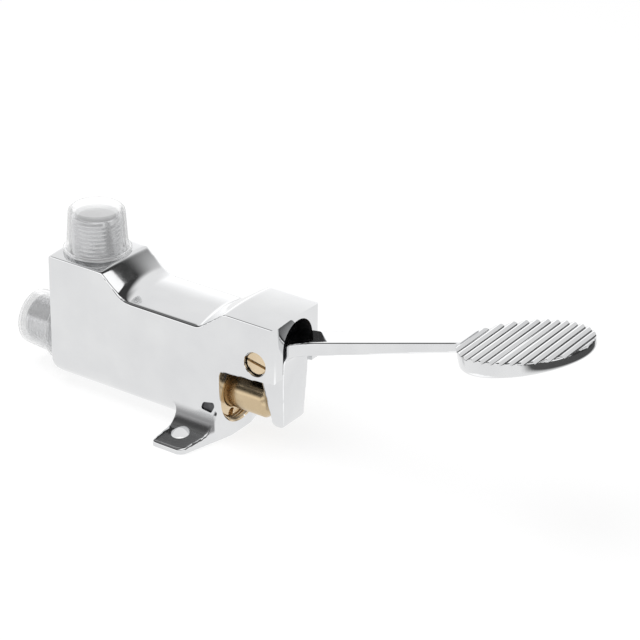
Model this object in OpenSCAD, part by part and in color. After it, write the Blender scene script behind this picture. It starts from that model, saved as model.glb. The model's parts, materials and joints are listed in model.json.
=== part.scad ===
// Foot pedal tap valve: a cast body on a floor flange, a push-through valve core and a pedal lever.
// Millimetres. +X runs from the inlet to the pedal, +Y to the far side, +Z up from the floor.
// The origin lies on the floor, midway between the two holes of the floor flange.

/* [Body] */
// Width of the cast body across the cheeks
body_w = 31.5; // [29:0.5:38]
// Length from the back face to the front of the hood
body_len = 113.5; // [110:0.5:125]
// Distance from the back face to the line of the flange holes
foot_from_back = 72.5; // [68:0.5:78]
// Height of the outlet block's top above the floor
block_h = 59.5; // [56:0.5:68]
// Length of the outlet block's flat top
block_len = 27.6; // [24:0.2:30]
// Horizontal run of the slope between the block and the saddle
slope_run = 11; // [9:0.5:14]
// Height of the saddle between the block and the hood
saddle_h = 49.8; // [47:0.2:53]
// Metal left below the gland hole
belly_wall = 2.4; // [1.5:0.1:4]
// Radius of the long lower edges
belly_r = 12; // [6:0.5:14]
// Radius of the lower edge at the back face
heel_r = 8; // [2:0.5:10]
// Radius of the hollow where the slope meets the saddle
hollow_r = 9; // [3:0.5:11]
// Radius of the upright edges at the hood's front
hood_edge_r = 3; // [0.5:0.1:4]
// Radius of the other cast edges
cast_r = 2; // [0.5:0.1:3]

/* [Hood] */
// Height of the hood's top above the floor
hood_h = 58.9; // [56:0.1:66]
// Length of the hood's flat top
hood_len = 24.7; // [22:0.1:30]
// Horizontal run of the rise between the saddle and the hood
hood_rise = 11.9; // [8:0.1:14]
// Width of the arched slot that the lever swings in
slot_w = 20; // [18:0.5:22]
// Metal above the crown of the slot
roof_t = 2.2; // [1.5:0.1:5]
// Depth of the slot from the hood's front
slot_depth = 22; // [19:0.5:24]
// Distance from the back face to the front of the valve chamber
chamber_from_back = 86.4; // [84:0.2:89]
// Height of the cheeks' lower edge at the valve chamber
cheek_z = 32.8; // [31:0.2:34]
// Rise of that edge towards the front
cheek_lift = 2.2; // [0:0.1:3]

/* [Floor flange] */
// Distance between the two flange holes
foot_hole_spacing = 45; // [43:0.5:52]
// Diameter of the flange holes
foot_hole_d = 7.5; // [6:0.1:8.5]
// Distance from a hole's axis to the end of its lug
foot_end = 9.5; // [8:0.5:14]
// Distance from the holes' line to the back edge of the lugs
foot_back = 7.5; // [6:0.5:10]
// Distance from the holes' line to the front edge of the lugs
foot_front = 7.5; // [6:0.5:10]
// Thickness at the end of a lug
foot_tip_t = 2.6; // [2:0.1:5]
// Thickness of a lug at the body
foot_root_t = 5; // [4:0.1:8]
// Radius of the fillet between the lugs and the body
foot_fillet = 6.5; // [2:0.5:9]

/* [Ports] */
// Height of the valve's axis above the floor
valve_z = 18.8; // [18.2:0.1:19.2]
// Height of the inlet's axis above the floor
inlet_z = 19.8; // [19:0.1:20.5]
// Outside diameter of the port threads, G 1/2
port_thread_d = 20.955; // [20:0.005:22]
// Length of the outlet's nipple above the body
port_len = 16.7; // [13:0.1:20]
// How much further the inlet's nipple stands out of the body
inlet_more = 1.9; // [0:0.1:3]
// Length of a nipple that is screwed into the body
port_grip = 8; // [6:0.5:9]
// Diameter of the waterway in a port
port_bore_d = 15.5; // [13:0.1:16]
// Chamfer at the mouth of a port
port_chamfer = 1.2; // [0.4:0.1:1.6]
// Distance from the back face to the outlet's axis
outlet_from_back = 14; // [13:0.2:15]
// Diameter of the cored passage between the valve and the outlet
passage_d = 11; // [8:0.5:12]

/* [Port caps] */
// Outside diameter of a cap's closed end
cap_d = 23.4; // [23:0.1:25]
// How much wider the cap is at its mouth
cap_taper = 2; // [1:0.1:3]
// Diameter of the rim round the cap's mouth
cap_rim_d = 28.2; // [27:0.1:29]
// Thickness of that rim
cap_rim_t = 1.4; // [1:0.1:2.5]
// Wall of a cap
cap_wall = 0.9; // [0.6:0.1:0.9]
// Height of a cap's end above the port
cap_over = 2.8; // [2:0.1:6]
// Distance between a cap's mouth and the body
cap_stand = 1; // [0.5:0.1:3]

/* [Pivot] */
// Distance from the hood's front to the pivot's axis
pivot_from_front = 9.4; // [8.6:0.1:10.4]
// Height of the pivot's axis above the floor
pivot_z = 41.7; // [41.4:0.1:43]
// Diameter of the pivot screw's plain shank
pivot_d = 7; // [5:0.1:8]
// Diameter of the pivot screw's thread
pivot_thread_d = 6; // [4:0.1:6.5]
// Diameter of the pivot screw's head
pivot_head_d = 9.6; // [8.5:0.1:11]
// Thickness of the pivot screw's head
pivot_head_t = 2; // [1.5:0.1:3]
// Depth of the head below the cheek's face
pivot_recess = 1.2; // [0.5:0.1:2]
// Width of the driver slot
driver_slot_w = 1.3; // [0.8:0.1:2]
// Depth of the driver slot
driver_slot_depth = 1.1; // [0.6:0.1:1.4]
// Slant of the driver slot as the screw was left
driver_slot_angle = -11; // [-90:1:90]

/* [Lever] */
// Diameter of the lever's hub
hub_d = 15; // [13:0.2:16]
// Clearance between the hub's ends and the slot's arch
hub_gap = 0.5; // [0.3:0.05:0.8]
// Width of the bar
lever_w = 13; // [10:0.5:15]
// Width of the arm's lower end
arm_low_w = 14; // [11:0.5:16]
// Step between the hub's ends and the sides of the lever's root
root_step = 0.5; // [0.4:0.1:2]
// Length over which the root narrows to the bar
root_flare = 8; // [4:0.5:12]
// Slope of the bar at rest, in degrees
bar_slope = 17; // [15:0.5:19]
// Distance from the pivot to the plane of the bar's top
bar_offset = 5.4; // [4.4:0.1:6]
// Thickness of the bar at the hub
bar_root_t = 6.2; // [5:0.1:7]
// Thickness of the bar at the pedal
bar_end_t = 4.2; // [3:0.1:6]
// Distance from the pivot to the front of the arm
arm_front = 9; // [8:0.1:9.2]
// How much further back the arm's front is at its lower end
arm_draft = 1.1; // [0:0.1:2]
// Distance from the pivot to the lower end of the arm
arm_len = 30.5; // [29:0.5:32]
// Lean of the arm's pushing face from upright at rest, in degrees
arm_lean = 14.3; // [13.2:0.1:16]
// Distance from the pivot to the plane of the pushing face
arm_offset = 5; // [4.6:0.02:5.4]
// Radius of the fillet between the bar and the arm
arm_fillet = 5; // [2:0.5:8]
// Swing of the pedal from rest to fully open, in degrees
pedal_swing = 13; // [9:0.5:13]

/* [Pedal] */
// Distance from the pivot to the middle of the pedal along X
pedal_x = 110.35; // [101:0.5:126]
// Height of the pedal's middle above the pivot
pedal_up = 37.75; // [36.6:0.05:38.6]
// Slope of the tread at rest, in degrees
pedal_slope = 14.15; // [12:0.1:16]
// Length of the oval pedal
pedal_len = 54.6; // [48:0.2:62]
// Width of the oval pedal
pedal_w = 43.4; // [39:0.2:48]
// Radius of the oval's two ends
pedal_end_r = 18.5; // [16:0.1:19]
// Height of the pedal's edge on the bar's side
pedal_back_t = 9; // [7:0.1:12]
// Height of the pedal's edge at the toe
pedal_toe_t = 4.6; // [3.8:0.1:6]
// Number of tread ribs
rib_count = 13; // [9:1:17]
// Height of a tread rib
rib_h = 1.2; // [0.6:0.1:1.6]
// Wall left round the hollow under the pedal
pedal_wall = 3; // [2:0.1:5]
// Metal left between the tread and the hollow
pedal_skin = 2.2; // [1.8:0.1:2.4]

/* [Valve core] */
// Diameter of the threaded gland hole
gland_d = 26.8; // [25.6:0.1:27.4]
// Depth of the gland nut below the chamber's front
gland_recess = 2.7; // [2:0.1:4]
// Length of the gland nut
gland_len = 6; // [4:0.1:8]
// Diameter of the gland nut's two spanner holes
spanner_hole_d = 3.4; // [2:0.1:3.8]
// Depth of the spanner holes
spanner_hole_depth = 2.5; // [1:0.1:3.5]
// Angle of the spanner holes round the axis
spanner_hole_angle = 72; // [0:1:180]
// Thickness of the core's flange
core_flange_t = 2.9; // [2:0.1:4]
// Thickness of the gasket behind that flange
core_gasket_t = 1.5; // [1:0.1:2.5]
// Diameter of the core's barrel
core_barrel_d = 19.2; // [18.6:0.1:20]
// Diameter of the core's nose
core_nose_d = 15.8; // [15.6:0.1:16.2]
// Length of the core's nose
core_nose_len = 5; // [4:0.1:6]
// Diameter of the water chamber in the core
core_flow_d = 10.4; // [9.6:0.1:11]
// Length of the water chamber in the core
core_flow_len = 10; // [9:0.1:12]
// Diameter of the seat's opening
seat_d = 8.8; // [8:0.1:9.4]
// Thickness of the seat's lip
seat_t = 2; // [1.5:0.1:3]
// Diameter of the windows in the core
window_d = 4.4; // [3:0.1:4.6]
// Number of windows in the core
window_count = 4; // [3:1:5]
// Thickness of the wall that guides the stem and carries the spring
web_t = 2; // [1.5:0.1:3]
// Thickness of every O-ring
o_ring_t = 1.24; // [1:0.02:1.3]

/* [Plunger and disc] */
// Diameter of the plunger
plunger_d = 15.8; // [15:0.1:16.2]
// Length of the plunger that is guided behind the gland nut's face
plunger_guide = 13.4; // [12:0.1:16]
// Chamfer at the plunger's pushed end
plunger_chamfer = 2; // [1:0.1:2.5]
// Diameter of the valve stem
stem_d = 5; // [4:0.1:5.4]
// Length of stem screwed into the plunger
stem_grip = 8; // [5:0.1:10]
// Length of the return spring at rest
spring_len = 14; // [12:0.1:16]
// Diameter of the spring wire
spring_wire = 1.1; // [0.8:0.05:1.2]
// Working turns of the return spring
spring_turns = 4; // [3:1:5]
// Diameter of the rubber seal disc
disc_d = 12; // [11:0.1:12.4]
// Thickness of the seal disc
disc_t = 2.7; // [2:0.1:3.5]
// Thickness of the cup behind the disc
cup_t = 1.4; // [1:0.1:2]
// Width of the lock nut across its flats
nut_af = 8; // [7:0.1:9]
// Thickness of the lock nut
nut_t = 4; // [3:0.1:5]

/* [Clearances] */
// Clearance between parts that move apart
free_gap = 0.3; // [0.3:0.05:0.5]
// Radial clearance of a running fit
run_gap = 0.05; // [0.02:0.01:0.1]
// Radial clearance of a screwed or seated part
seat_gap = 0.1; // [0.05:0.01:0.15]

/* [Hidden] */
$fn = 96;
arc_steps = 8;
cut = 1;

chrome = [0.82, 0.83, 0.85];
brass = [0.80, 0.62, 0.32];
steel = [0.62, 0.63, 0.65];
rubber = [0.09, 0.09, 0.10];
clear_plastic = [0.90, 0.92, 0.94, 0.45];

// Places along X
back_x = -foot_from_back;
hood_front_x = back_x + body_len;
chamber_x = back_x + chamber_from_back;
outlet_x = back_x + outlet_from_back;
pivot_x = hood_front_x - pivot_from_front;
inlet_end_x = back_x - port_len - inlet_more;
outlet_end_z = block_h + port_len;

// Cast body
cheek_t = (body_w - slot_w) / 2;
gland_r = gland_d / 2;
belly_z = valve_z - gland_r - belly_wall;
saddle_end_x = hood_front_x - hood_len - hood_rise;
slope_end_x = back_x + block_len + slope_run;
slot_back_x = hood_front_x - slot_depth;
slot_crown_z = hood_h - roof_t;
foot_tip_y = foot_hole_spacing / 2 + foot_end;
foot_nose_y = 7;
foot_corner_r = 4;
foot_flank_z = foot_root_t + foot_fillet + 6;

// Valve train, from the chamber's front towards the inlet
plunger_r = plunger_d / 2;
tip_r = plunger_r - plunger_chamfer;
contact_drop = pivot_z - valve_z - tip_r;
contact_x = pivot_x - arm_offset / cos(arm_lean) + contact_drop * tan(arm_lean);
plunger_front_x = contact_x - free_gap / cos(arm_lean);
open_lean = arm_lean - pedal_swing;
open_x = pivot_x - arm_offset / cos(open_lean) + contact_drop * tan(open_lean);
valve_lift = contact_x - open_x;
gland_front_x = chamber_x - gland_recess;
core_front_x = gland_front_x - gland_len;
flange_back_x = core_front_x - core_flange_t;
shoulder_x = flange_back_x - core_gasket_t;
plunger_back_x = gland_front_x - plunger_guide;
web_front_x = plunger_back_x - spring_len;
web_back_x = web_front_x - web_t;
flow_back_x = web_back_x - core_flow_len;
core_back_x = flow_back_x - seat_t;
nose_front_x = core_back_x + core_nose_len;
window_x = (web_back_x + nose_front_x) / 2;
disc_front_x = core_back_x - free_gap;
disc_back_x = disc_front_x - disc_t;
cup_back_x = disc_back_x - cup_t;
nut_back_x = cup_back_x - nut_t;
stem_back_x = nut_back_x - 0.5;
throat_back_x = stem_back_x - valve_lift - 3;

// Radii of the valve train
guide_r = plunger_r + run_gap;
barrel_r = core_barrel_d / 2;
nose_r = core_nose_d / 2;
throat_r = nose_r + seat_gap;
chamber_r = max(throat_r, barrel_r) + 0.8;
stem_r = stem_d / 2;
o_ring_r = o_ring_t / 2;
groove_depth = o_ring_t + 0.06;
groove_w = o_ring_t + 0.5;
nose_groove_x = (nose_front_x + core_back_x) / 2;
plunger_grooves = [plunger_back_x + 3, plunger_back_x + 3 + 2 * groove_w];
spring_r = (guide_r + stem_r) / 2;

// Waterway above the inlet
passage_z = (valve_z + chamber_r + saddle_h) / 2;

// Lever
arch_r = slot_w / 2;
hub_rise = max(pivot_z + hub_d / 2 - slot_crown_z + arch_r, 0);
hub_w = 2 * (sqrt(pow(arch_r, 2) - pow(hub_rise, 2)) - hub_gap);
root_half = hub_w / 2 - root_step;
bar_tan = tan(bar_slope);
pedal_r = pedal_len / 2;
oval_side_r = (pow(pedal_r - pedal_end_r, 2) + pow(pedal_w / 2, 2) - pow(pedal_end_r, 2))
    / (pedal_w - 2 * pedal_end_r);
oval_drop = oval_side_r - pedal_w / 2;
oval_join_x = oval_side_r * (pedal_r - pedal_end_r) / norm([pedal_r - pedal_end_r, oval_drop]);
rib_pitch = pedal_len / rib_count;
pedal_taper = (pedal_back_t - pedal_toe_t) / pedal_len;

// Outline with rounded corners: each point is [x, y, radius], and a radius is limited by its two sides
function unit(v) = v / norm(v);
function corner(a, b, c, r) =
    let (u = unit(a - b), v = unit(c - b), half = acos(u * v) / 2)
    let (reach = min(r / tan(half), 0.48 * min(norm(a - b), norm(c - b))), r_fit = reach * tan(half))
    let (middle = b + unit(u + v) * r_fit / sin(half), from = b + u * reach - middle)
    let (to = b + v * reach - middle, start = atan2(from[1], from[0]))
    let (turn = (atan2(to[1], to[0]) - start + 540) % 360 - 180)
    [for (i = [0 : arc_steps]) let (t = start + turn * i / arc_steps) middle + r_fit * [cos(t), sin(t)]];
function xy(p) = [p[0], p[1]];
function rounded(path) =
    let (n = len(path))
    [for (i = [0 : n - 1]) each path[i][2] == 0
        ? [xy(path[i])]
        : corner(xy(path[(i + n - 1) % n]), xy(path[i]), xy(path[(i + 1) % n]), path[i][2])];

// An outline drawn in X and Z, carried across the part in Y
module across(width) {
    rotate([90, 0, 0]) linear_extrude(width, center = true) children();
}

// An outline drawn in Y and Z, carried along X between two places
module along(from, to) {
    translate([from, 0, 0]) rotate([90, 0, 90]) linear_extrude(to - from) children();
}

// A turned piece on the valve's axis or at another height: each point is [x, radius]
module turned(profile, z = valve_z) {
    translate([0, 0, z]) rotate([0, 90, 0]) rotate_extrude()
        polygon([for (p = profile) [p[1], p[0]]]);
}

// A bore or a rod on the valve's axis or at another height
module axial(from, to, r, z = valve_z) {
    turned([[from, 0], [to, 0], [to, r], [from, r]], z);
}

// Side view of the casting
module side_view() {
    polygon(rounded([
        [back_x, belly_z, heel_r],
        [back_x, block_h, cast_r],
        [back_x + block_len, block_h, cast_r],
        [slope_end_x, saddle_h, hollow_r],
        [saddle_end_x, saddle_h, 2 * cast_r],
        [saddle_end_x + hood_rise, hood_h, 2 * cast_r],
        [hood_front_x, hood_h, cast_r],
        [hood_front_x, cheek_z + cheek_lift, cast_r],
        [chamber_x, cheek_z, cast_r],
        [chamber_x, belly_z, 0]]));
}

// End view of the casting: upright sides on a rounded belly
module end_view() {
    top = max(block_h, hood_h) + cut;
    polygon(rounded([
        [-body_w / 2, top, 0],
        [-body_w / 2, belly_z, belly_r],
        [body_w / 2, belly_z, belly_r],
        [body_w / 2, top, 0]]));
}

// Plan of the casting
module plan_view() {
    polygon(rounded([
        [back_x, -body_w / 2, cast_r],
        [hood_front_x, -body_w / 2, hood_edge_r],
        [hood_front_x, body_w / 2, hood_edge_r],
        [back_x, body_w / 2, cast_r]]));
}

// Floor flange: two lugs that thicken towards the body and run into it with a fillet
module floor_flange() {
    intersection() {
        along(-foot_back - cut, chamber_x) polygon(rounded([
            [-foot_tip_y, 0, 0],
            [-foot_tip_y, foot_tip_t, 1],
            [-body_w / 2, foot_root_t, foot_fillet],
            [-body_w / 2, foot_flank_z, 0],
            [body_w / 2, foot_flank_z, 0],
            [body_w / 2, foot_root_t, foot_fillet],
            [foot_tip_y, foot_tip_t, 1],
            [foot_tip_y, 0, 0]]));
        linear_extrude(block_h) polygon(rounded([
            [-foot_back, -foot_tip_y, cast_r],
            [foot_front, -foot_tip_y, foot_corner_r],
            [chamber_x, -foot_nose_y, cast_r],
            [chamber_x, foot_nose_y, cast_r],
            [foot_front, foot_tip_y, foot_corner_r],
            [-foot_back, foot_tip_y, cast_r]]));
    }
}

// The arched slot that the lever swings in, open below and in front
module lever_slot() {
    along(slot_back_x, hood_front_x + cut) {
        translate([0, slot_crown_z - arch_r]) circle(arch_r);
        translate([-arch_r, 0]) square([slot_w, slot_crown_z - arch_r]);
    }
}

// Holes for the pivot screw: a sunk head in the near cheek and a thread in the far one
module pivot_holes() {
    translate([pivot_x, 0, pivot_z]) rotate([-90, 0, 0]) {
        sink = pivot_recess + pivot_head_t + seat_gap;
        translate([0, 0, -body_w / 2 - cut]) cylinder(r = pivot_head_d / 2 + 0.4, h = sink + cut);
        translate([0, 0, -body_w / 2]) cylinder(r = pivot_d / 2 + run_gap, h = cheek_t + cut);
        translate([0, 0, slot_w / 2 - cut]) cylinder(r = pivot_thread_d / 2 + seat_gap, h = cheek_t + 2 * cut);
    }
}

// Waterways: the stepped bore of the valve, the inlet, the passage, the outlet and the nipples' sockets
module waterways() {
    port_r = port_bore_d / 2;
    socket_r = port_thread_d / 2 + seat_gap;
    axial(shoulder_x, chamber_x + cut, gland_r);
    axial(nose_front_x - free_gap, shoulder_x + cut, chamber_r);
    axial(throat_back_x, nose_front_x + cut, throat_r);
    axial(back_x, throat_back_x + cut, port_r, inlet_z);
    axial(back_x - cut, back_x + port_grip, socket_r, inlet_z);
    translate([window_x, 0, valve_z]) cylinder(d = passage_d, h = passage_z - valve_z);
    translate([outlet_x, 0, passage_z]) rotate([0, 90, 0]) cylinder(d = passage_d, h = window_x - outlet_x);
    translate([window_x, 0, passage_z]) sphere(d = passage_d);
    translate([outlet_x, 0, passage_z - passage_d / 2])
        cylinder(r = port_r, h = block_h - passage_z + passage_d / 2);
    translate([outlet_x, 0, block_h - port_grip]) cylinder(r = socket_r, h = port_grip + cut);
}

module valve_body() {
    color(chrome) difference() {
        union() {
            intersection() {
                across(body_w + cut) side_view();
                along(back_x - cut, hood_front_x + cut) end_view();
                linear_extrude(max(block_h, hood_h) + cut) plan_view();
            }
            floor_flange();
        }
        lever_slot();
        pivot_holes();
        waterways();
        for (side = [-1, 1])
            translate([0, side * foot_hole_spacing / 2, -cut])
                cylinder(d = foot_hole_d, h = foot_root_t + foot_fillet);
    }
}

// Threaded nipple, drawn standing with the body's face at zero
module nipple(len) {
    port_r = port_bore_d / 2;
    thread_r = port_thread_d / 2;
    rotate_extrude() polygon([
        [port_r, -port_grip],
        [thread_r, -port_grip],
        [thread_r, len],
        [port_r + port_chamfer, len],
        [port_r, len - port_chamfer]]);
}

module outlet_nipple() {
    color(chrome) translate([outlet_x, 0, block_h]) nipple(port_len);
}

module inlet_nipple() {
    color(chrome) translate([back_x, 0, inlet_z]) rotate([0, -90, 0]) nipple(port_len + inlet_more);
}

module pivot_screw() {
    head_y = -body_w / 2 + pivot_recess;
    color(brass) translate([pivot_x, 0, pivot_z]) difference() {
        rotate([-90, 0, 0]) {
            translate([0, 0, head_y]) cylinder(d = pivot_head_d, h = pivot_head_t);
            translate([0, 0, head_y]) cylinder(d = pivot_d, h = slot_w / 2 - head_y - seat_gap);
            translate([0, 0, head_y]) cylinder(d = pivot_thread_d, h = body_w / 2 - 0.5 - head_y);
        }
        rotate([0, -driver_slot_angle, 0]) translate([0, head_y, 0])
            cube([pivot_head_d + cut, 2 * driver_slot_depth, driver_slot_w], center = true);
    }
}

module gland_nut() {
    bore_r = plunger_r + free_gap;
    color(brass) difference() {
        turned([
            [core_front_x, bore_r],
            [gland_front_x, bore_r],
            [gland_front_x, gland_r - seat_gap],
            [core_front_x, gland_r - seat_gap]]);
        for (side = [0, 180])
            translate([gland_front_x, 0, valve_z]) rotate([spanner_hole_angle + side, 0, 0])
                translate([0, (bore_r + gland_r) / 2, 0]) rotate([0, 90, 0])
                    cylinder(d = spanner_hole_d, h = 2 * spanner_hole_depth, center = true);
    }
}

module core_gasket() {
    color(rubber) turned([
        [shoulder_x, barrel_r + seat_gap],
        [flange_back_x, barrel_r + seat_gap],
        [flange_back_x, gland_r - seat_gap],
        [shoulder_x, gland_r - seat_gap]]);
}

module valve_core() {
    flange_r = gland_r - seat_gap;
    nose_groove_r = throat_r - groove_depth;
    color(brass) difference() {
        turned([
            [core_back_x, seat_d / 2],
            [flow_back_x, seat_d / 2],
            [flow_back_x, core_flow_d / 2],
            [web_back_x, core_flow_d / 2],
            [web_back_x, stem_r + run_gap],
            [web_front_x, stem_r + run_gap],
            [web_front_x, guide_r],
            [core_front_x, guide_r],
            [core_front_x, flange_r],
            [flange_back_x, flange_r],
            [flange_back_x, barrel_r],
            [nose_front_x, barrel_r],
            [nose_front_x, nose_r],
            [nose_groove_x + groove_w / 2, nose_r],
            [nose_groove_x + groove_w / 2, nose_groove_r],
            [nose_groove_x - groove_w / 2, nose_groove_r],
            [nose_groove_x - groove_w / 2, nose_r],
            [core_back_x, nose_r]]);
        for (i = [0 : window_count - 1])
            translate([window_x, 0, valve_z]) rotate([i * 360 / window_count, 0, 0])
                cylinder(d = window_d, h = barrel_r + cut);
    }
}

// An O-ring on the valve's axis, pressed out against a wall
module o_ring(x, wall_r) {
    translate([x, 0, valve_z]) rotate([0, 90, 0]) rotate_extrude()
        translate([wall_r - groove_depth / 2, 0]) circle(o_ring_r);
}

module core_o_ring() {
    color(rubber) o_ring(nose_groove_x, throat_r);
}

// Coil spring: closed turns at both ends and open turns between them, swept round the valve's axis
module return_spring() {
    sides = 8;
    steps = 20;
    closed = 1.25;
    closed_pitch = spring_wire + 0.05;
    wire_r = spring_wire / 2;
    turns = spring_turns + 2 * closed;
    count = round(turns * steps);
    open_len = spring_len - spring_wire - 2 * closed * closed_pitch;
    function lift(t) = closed_pitch * min(t, closed)
        + open_len * min(max(t - closed, 0), spring_turns) / spring_turns
        + closed_pitch * max(t - closed - spring_turns, 0);
    points = [for (i = [0 : count], j = [0 : sides - 1])
        let (t = i / steps, a = 360 * j / sides, r = spring_r + wire_r * cos(a))
        [web_front_x + wire_r + lift(t) + wire_r * sin(a), r * cos(360 * t), valve_z + r * sin(360 * t)]];
    walls = [for (i = [0 : count - 1], j = [0 : sides - 1])
        let (k = i * sides, n = (j + 1) % sides) [k + j, k + n, k + sides + n, k + sides + j]];
    first = [for (j = [0 : sides - 1]) sides - 1 - j];
    last = [for (j = [0 : sides - 1]) count * sides + j];
    color(steel) polyhedron(points, concat(walls, [first, last]));
}

module plunger() {
    groove_r = guide_r - groove_depth;
    back_edge = [[plunger_back_x, 0], [plunger_back_x, plunger_r]];
    grooves = [for (x = plunger_grooves) each [
        [x - groove_w / 2, plunger_r],
        [x - groove_w / 2, groove_r],
        [x + groove_w / 2, groove_r],
        [x + groove_w / 2, plunger_r]]];
    front_edge = [
        [plunger_front_x - plunger_chamfer, plunger_r],
        [plunger_front_x, tip_r],
        [plunger_front_x, 0]];
    color(brass) difference() {
        turned(concat(back_edge, grooves, front_edge));
        axial(plunger_back_x - cut, plunger_back_x + stem_grip + seat_gap, stem_r + seat_gap);
    }
}

module plunger_o_rings() {
    color(rubber) for (x = plunger_grooves) o_ring(x, guide_r);
}

module valve_stem() {
    color(steel) axial(stem_back_x, plunger_back_x + stem_grip, stem_r);
}

module seal_disc() {
    color(rubber) turned([
        [disc_back_x, stem_r + seat_gap],
        [disc_front_x, stem_r + seat_gap],
        [disc_front_x, disc_d / 2],
        [disc_back_x, disc_d / 2]]);
}

// Cup that backs the seal disc and holds its edge
module disc_cup() {
    lip_r = disc_d / 2 + seat_gap;
    color(brass) turned([
        [cup_back_x, stem_r + seat_gap],
        [disc_back_x, stem_r + seat_gap],
        [disc_back_x, lip_r],
        [disc_back_x + disc_t / 2, lip_r],
        [disc_back_x + disc_t / 2, lip_r + 0.6],
        [cup_back_x, lip_r + 0.6]]);
}

module disc_nut() {
    color(brass) difference() {
        translate([nut_back_x, 0, valve_z]) rotate([0, 90, 0])
            cylinder(d = nut_af / cos(30), h = nut_t, $fn = 6);
        axial(nut_back_x - cut, cup_back_x + cut, stem_r + seat_gap);
    }
}

// The pedal's oval outline: two end arcs that run into two side arcs
module oval(inset) {
    for (end = [-1, 1])
        translate([end * (pedal_r - pedal_end_r), 0]) circle(pedal_end_r - inset);
    intersection() {
        translate([0, -oval_drop]) circle(oval_side_r - inset);
        translate([0, oval_drop]) circle(oval_side_r - inset);
        square([2 * oval_join_x, pedal_w], center = true);
    }
}

// Pedal plate with its origin in the middle of the tread: a ribbed top on a wedge, hollow below
module pedal() {
    ribs = [for (i = [0 : rib_count - 1]) each [
        [-pedal_r + i * rib_pitch, -rib_h],
        [-pedal_r + (i + 0.7) * rib_pitch, 0],
        [-pedal_r + (i + 0.85) * rib_pitch, 0]]];
    difference() {
        intersection() {
            translate([0, 0, -pedal_back_t - cut]) linear_extrude(pedal_back_t + 2 * cut) oval(0);
            across(pedal_w + cut) polygon(concat(ribs, [
                [pedal_r, -rib_h],
                [pedal_r, -pedal_toe_t],
                [-pedal_r, -pedal_back_t]]));
        }
        translate([0, 0, -pedal_back_t - cut])
            linear_extrude(pedal_back_t + cut - rib_h - pedal_skin) oval(pedal_wall);
    }
}

// Side view of the lever with its origin at the pivot: a bar that rises to the pedal's edge, and an arm with
// an upright front and a leaning face that pushes the plunger
module lever_side_view() {
    top_x = -bar_offset * sin(bar_slope);
    top_z = bar_offset * cos(bar_slope);
    end_x = pedal_x - pedal_r * cos(pedal_slope) + pedal_wall;
    end_z = top_z + (end_x - top_x) * bar_tan;
    root_z = top_z + (arm_front - top_x) * bar_tan - bar_root_t;
    face_x = -arm_offset / cos(arm_lean);
    shoulder = hub_d / 4;
    polygon(rounded([
        [top_x, top_z, 0],
        [end_x, end_z, 0],
        [end_x, end_z - bar_end_t, 0],
        [arm_front, root_z, arm_fillet],
        [arm_front - arm_draft, -arm_len, cast_r],
        [face_x + arm_len * tan(arm_lean), -arm_len, cast_r],
        [face_x + shoulder * tan(arm_lean), -shoulder, 0]]));
}

// Front view of the lever: the arm widens from its lower end to the root
module lever_front_view() {
    low = arm_low_w / 2;
    top = hub_d + pedal_up;
    polygon([
        [-low, -arm_len - cut],
        [low, -arm_len - cut],
        [root_half, -hub_d / 2],
        [root_half, top],
        [-root_half, top],
        [-root_half, -hub_d / 2]]);
}

// Plan of the lever: the root narrows to the bar
module lever_plan_view() {
    bar_half = lever_w / 2;
    bar_x = arm_front + root_flare;
    polygon([
        [-hub_d, -root_half],
        [arm_front, -root_half],
        [bar_x, -bar_half],
        [pedal_x, -bar_half],
        [pedal_x, bar_half],
        [bar_x, bar_half],
        [arm_front, root_half],
        [-hub_d, root_half]]);
}

module pedal_lever() {
    color(chrome) translate([pivot_x, 0, pivot_z]) difference() {
        union() {
            rotate([90, 0, 0]) cylinder(d = hub_d, h = hub_w, center = true);
            intersection() {
                across(hub_w) lever_side_view();
                along(-hub_d, pedal_x) lever_front_view();
                translate([0, 0, -2 * arm_len]) linear_extrude(2 * (arm_len + pedal_up)) lever_plan_view();
            }
            translate([pedal_x, 0, pedal_up]) rotate([0, -pedal_slope, 0]) pedal();
        }
        rotate([90, 0, 0]) cylinder(r = pivot_d / 2 + run_gap, h = hub_w + cut, center = true);
    }
}

// Translucent thread protector, drawn standing over a port whose root is at zero
module port_cap() {
    end = port_len + cap_over;
    mouth_r = (cap_d + cap_taper) / 2;
    end_r = cap_d / 2;
    rotate_extrude() polygon(rounded([
        [0, end - cap_wall, 0],
        [end_r - cap_wall, end - cap_wall, 1],
        [mouth_r - cap_wall, cap_stand, 0],
        [cap_rim_d / 2, cap_stand, 0.4],
        [cap_rim_d / 2, cap_stand + cap_rim_t, 0.4],
        [mouth_r, cap_stand + cap_rim_t, 0.4],
        [end_r, end, 2],
        [0, end, 0]]));
}

module outlet_cap() {
    color(clear_plastic) translate([outlet_x, 0, block_h]) port_cap();
}

module inlet_cap() {
    color(clear_plastic) translate([back_x - inlet_more, 0, inlet_z]) rotate([0, -90, 0]) port_cap();
}

valve_body();
outlet_nipple();
inlet_nipple();
pivot_screw();
gland_nut();
core_gasket();
valve_core();
core_o_ring();
return_spring();
plunger();
plunger_o_rings();
valve_stem();
seal_disc();
disc_cup();
disc_nut();
pedal_lever();
outlet_cap();
inlet_cap();
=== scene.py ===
"""Foot pedal tap valve: chromed castings, turned brass, rubber seals and translucent thread caps."""

import json
import math

import bmesh
import bpy
from mathutils import Matrix, Vector


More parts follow.
